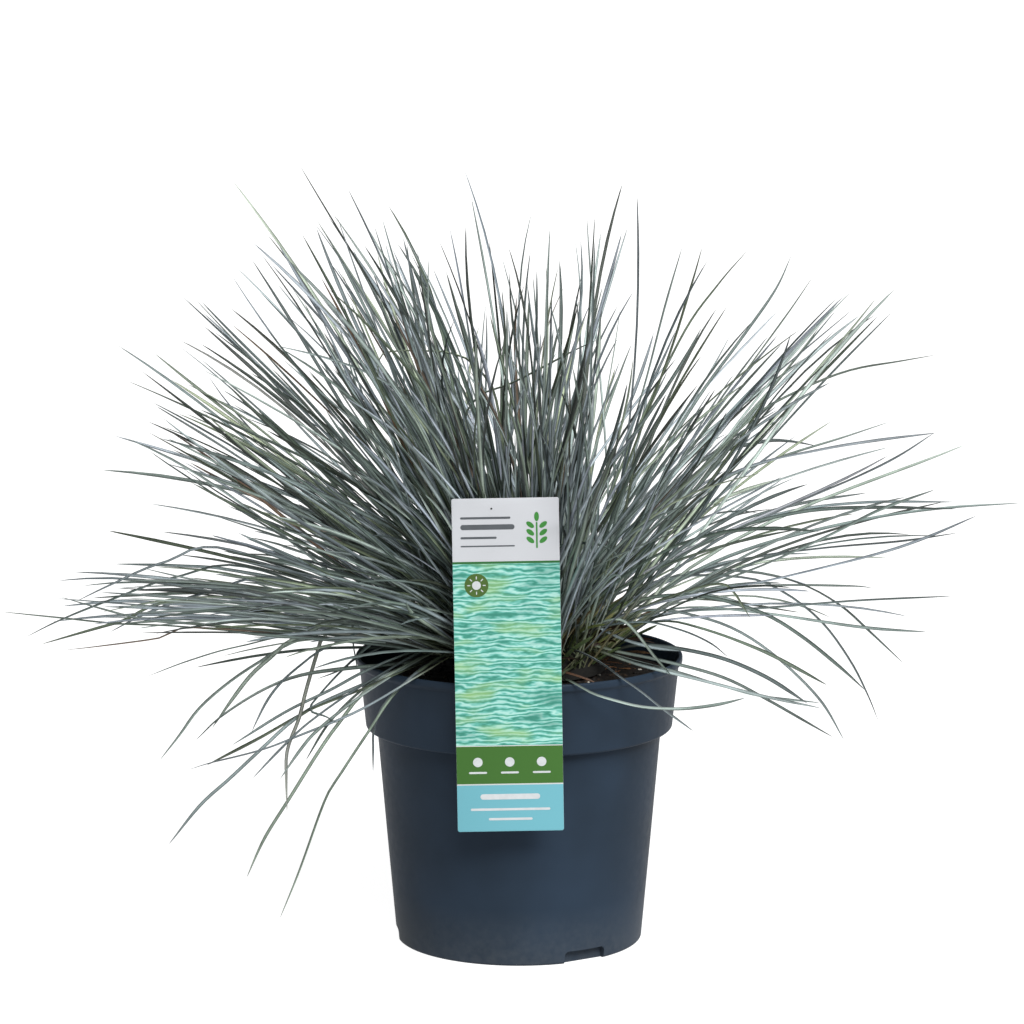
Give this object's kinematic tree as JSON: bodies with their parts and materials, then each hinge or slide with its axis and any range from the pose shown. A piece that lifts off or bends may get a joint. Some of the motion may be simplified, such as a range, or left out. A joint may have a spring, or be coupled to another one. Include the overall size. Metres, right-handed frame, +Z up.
{
  "type": "potted blue fescue clump",
  "caption": "Potted blue fescue clump: fine silver-blue grass leaves arching from a low crown in a dark plastic nursery pot of soil, with a hook-on plant label on the front rim.",
  "frame": {"origin": "centre of the pot's flat base, on the surface that the pot stands on", "axes": "+Z up along the pot's axis; -Y is the front, where the label hangs; +X is to the viewer's right"},
  "size_m": [0.5347, 0.4488, 0.4155],
  "materials": {
    "pot_plastic": "satin moulded polypropylene, dark slate blue",
    "potting_soil": "damp dark potting mix, matte and crumbly",
    "grass_crown": "dry straw-brown leaf bases with green new sheaths, matte",
    "grass_leaf": "waxy silver blue-green grass leaf, soft sheen",
    "label_card": "printed polypropylene card, semi-gloss"
  },
  "bodies": {
    "root": {"pot": "pot_plastic", "soil": "potting_soil", "crown": "grass_crown", "label": "label_card", "tuft_01": "grass_leaf", "tuft_02": "grass_leaf", "tuft_03": "grass_leaf", "tuft_04": "grass_leaf", "tuft_05": "grass_leaf", "tuft_06": "grass_leaf", "tuft_07": "grass_leaf", "tuft_08": "grass_leaf", "tuft_09": "grass_leaf", "tuft_10": "grass_leaf", "tuft_11": "grass_leaf", "tuft_12": "grass_leaf", "tuft_13": "grass_leaf", "tuft_14": "grass_leaf", "tuft_15": "grass_leaf", "tuft_16": "grass_leaf", "tuft_17": "grass_leaf", "tuft_18": "grass_leaf", "tuft_19": "grass_leaf", "tuft_20": "grass_leaf", "tuft_21": "grass_leaf", "tuft_22": "grass_leaf", "tuft_23": "grass_leaf", "tuft_24": "grass_leaf", "tuft_25": "grass_leaf", "tuft_26": "grass_leaf", "tuft_27": "grass_leaf", "tuft_28": "grass_leaf", "tuft_29": "grass_leaf", "tuft_30": "grass_leaf", "tuft_31": "grass_leaf", "tuft_32": "grass_leaf", "tuft_33": "grass_leaf", "tuft_34": "grass_leaf", "tuft_35": "grass_leaf", "tuft_36": "grass_leaf", "tuft_37": "grass_leaf", "tuft_38": "grass_leaf", "tuft_39": "grass_leaf", "tuft_40": "grass_leaf", "tuft_41": "grass_leaf", "tuft_42": "grass_leaf", "tuft_43": "grass_leaf", "tuft_44": "grass_leaf", "tuft_45": "grass_leaf", "tuft_46": "grass_leaf", "tuft_47": "grass_leaf", "tuft_48": "grass_leaf", "tuft_49": "grass_leaf", "tuft_50": "grass_leaf", "tuft_51": "grass_leaf", "tuft_52": "grass_leaf"}
  },
  "joints": []
}
